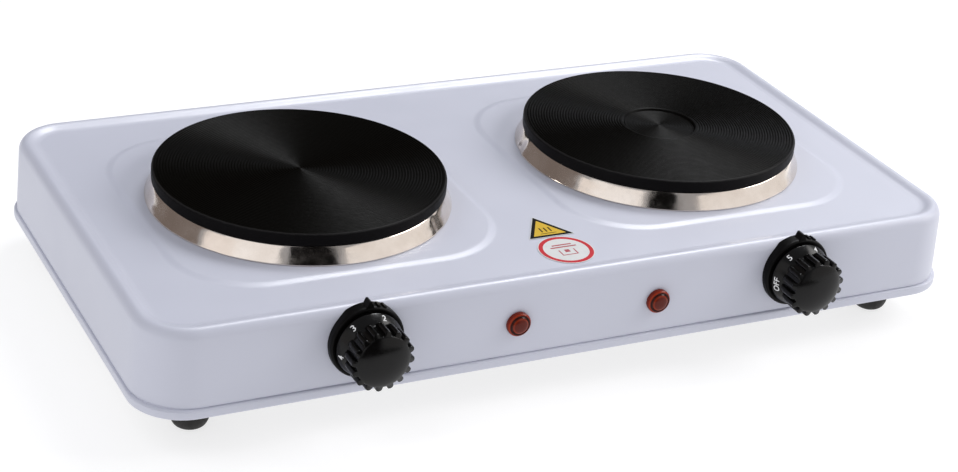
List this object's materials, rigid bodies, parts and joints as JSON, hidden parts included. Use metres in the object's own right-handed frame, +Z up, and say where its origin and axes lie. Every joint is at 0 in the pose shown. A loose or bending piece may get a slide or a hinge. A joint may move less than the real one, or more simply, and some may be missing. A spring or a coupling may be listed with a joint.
{
  "type": "electric hot plate",
  "caption": "White enamelled table-top electric hot plate: cast-iron plates in stainless skirts, turning thermostat knobs, red pilot lamps and rubber feet.",
  "frame": {"origin": "centre of the whole footprint, on the surface that the feet stand on", "axes": "+X to the right seen from the front, +Y towards the back wall, +Z up; the knobs face -Y"},
  "size_m": [0.47, 0.2784, 0.082],
  "materials": {
    "white_enamel": "glossy white enamel, slightly bluish",
    "cast_iron": "black heat-proof coating over fine turned grooves",
    "stainless_skirt": "bright rolled stainless steel",
    "zinc_steel": "zinc-plated sheet and fasteners, dull",
    "black_plastic": "glossy black phenolic plastic with white dial numbers",
    "red_lens": "dark red translucent plastic",
    "black_rubber": "black rubber",
    "white_ceramic": "unglazed white ceramic",
    "magnesia_cement": "rough grey cement around the heating wire",
    "brown_lead": "brown silicone insulation",
    "black_lead": "black silicone insulation",
    "blue_lead": "blue silicone insulation",
    "green_lead": "green silicone insulation",
    "yellow_sticker": "printed yellow film with a black border",
    "white_sticker": "printed white film with a red ring"
  },
  "bodies": {
    "root": {"base_plate": "zinc_steel", "cord_grommet": "black_rubber", "corner_bracket_back_left": "zinc_steel", "corner_bracket_back_right": "zinc_steel", "corner_bracket_front_left": "zinc_steel", "corner_bracket_front_right": "zinc_steel", "earth_screw": "zinc_steel", "earth_wire": "green_lead", "foot_back_left": "black_rubber", "foot_back_right": "black_rubber", "foot_front_left": "black_rubber", "foot_front_right": "black_rubber", "foot_screw_back_left": "zinc_steel", "foot_screw_back_right": "zinc_steel", "foot_screw_front_left": "zinc_steel", "foot_screw_front_right": "zinc_steel", "left_clamp_nut": "zinc_steel", "left_clamp_yoke": "zinc_steel", "left_dial_ring": "black_plastic", "left_element_cover": "zinc_steel", "left_heating_element": "magnesia_cement", "left_iron_plate": "cast_iron", "left_lamp_lens": "red_lens", "left_lamp_socket": "white_ceramic", "left_line_wire": "brown_lead", "left_load_wire": "black_lead", "left_neutral_wire": "blue_lead", "left_plate_connector": "white_ceramic", "left_plate_stud": "zinc_steel", "left_skirt_ring": "stainless_skirt", "left_thermostat": "white_ceramic", "left_thermostat_screw_inner": "zinc_steel", "left_thermostat_screw_outer": "zinc_steel", "right_clamp_nut": "zinc_steel", "right_clamp_yoke": "zinc_steel", "right_dial_ring": "black_plastic", "right_element_cover": "zinc_steel", "right_heating_element": "magnesia_cement", "right_iron_plate": "cast_iron", "right_lamp_lens": "red_lens", "right_lamp_socket": "white_ceramic", "right_line_wire": "brown_lead", "right_load_wire": "black_lead", "right_neutral_wire": "blue_lead", "right_plate_connector": "white_ceramic", "right_plate_stud": "zinc_steel", "right_skirt_ring": "stainless_skirt", "right_thermostat": "white_ceramic", "right_thermostat_screw_inner": "zinc_steel", "right_thermostat_screw_outer": "zinc_steel", "round_sticker": "white_sticker", "terminal_block": "white_ceramic", "top_housing": "white_enamel", "triangle_sticker": "yellow_sticker"},
    "left_dial": {"left_knob": "black_plastic", "left_thermostat_shaft": "zinc_steel"},
    "right_dial": {"right_knob": "black_plastic", "right_thermostat_shaft": "zinc_steel"}
  },
  "joints": [
    {"name": "left_knob_turn", "type": "hinge", "parent": "root", "child": "left_dial", "pos_m": [-0.124, -0.11475, 0.0492], "axis": [0, 1, 0], "range_deg": [-140, 160]},
    {"name": "right_knob_turn", "type": "hinge", "parent": "root", "child": "right_dial", "pos_m": [0.124, -0.11475, 0.0492], "axis": [0, 1, 0], "range_deg": [-261, 39]}
  ]
}
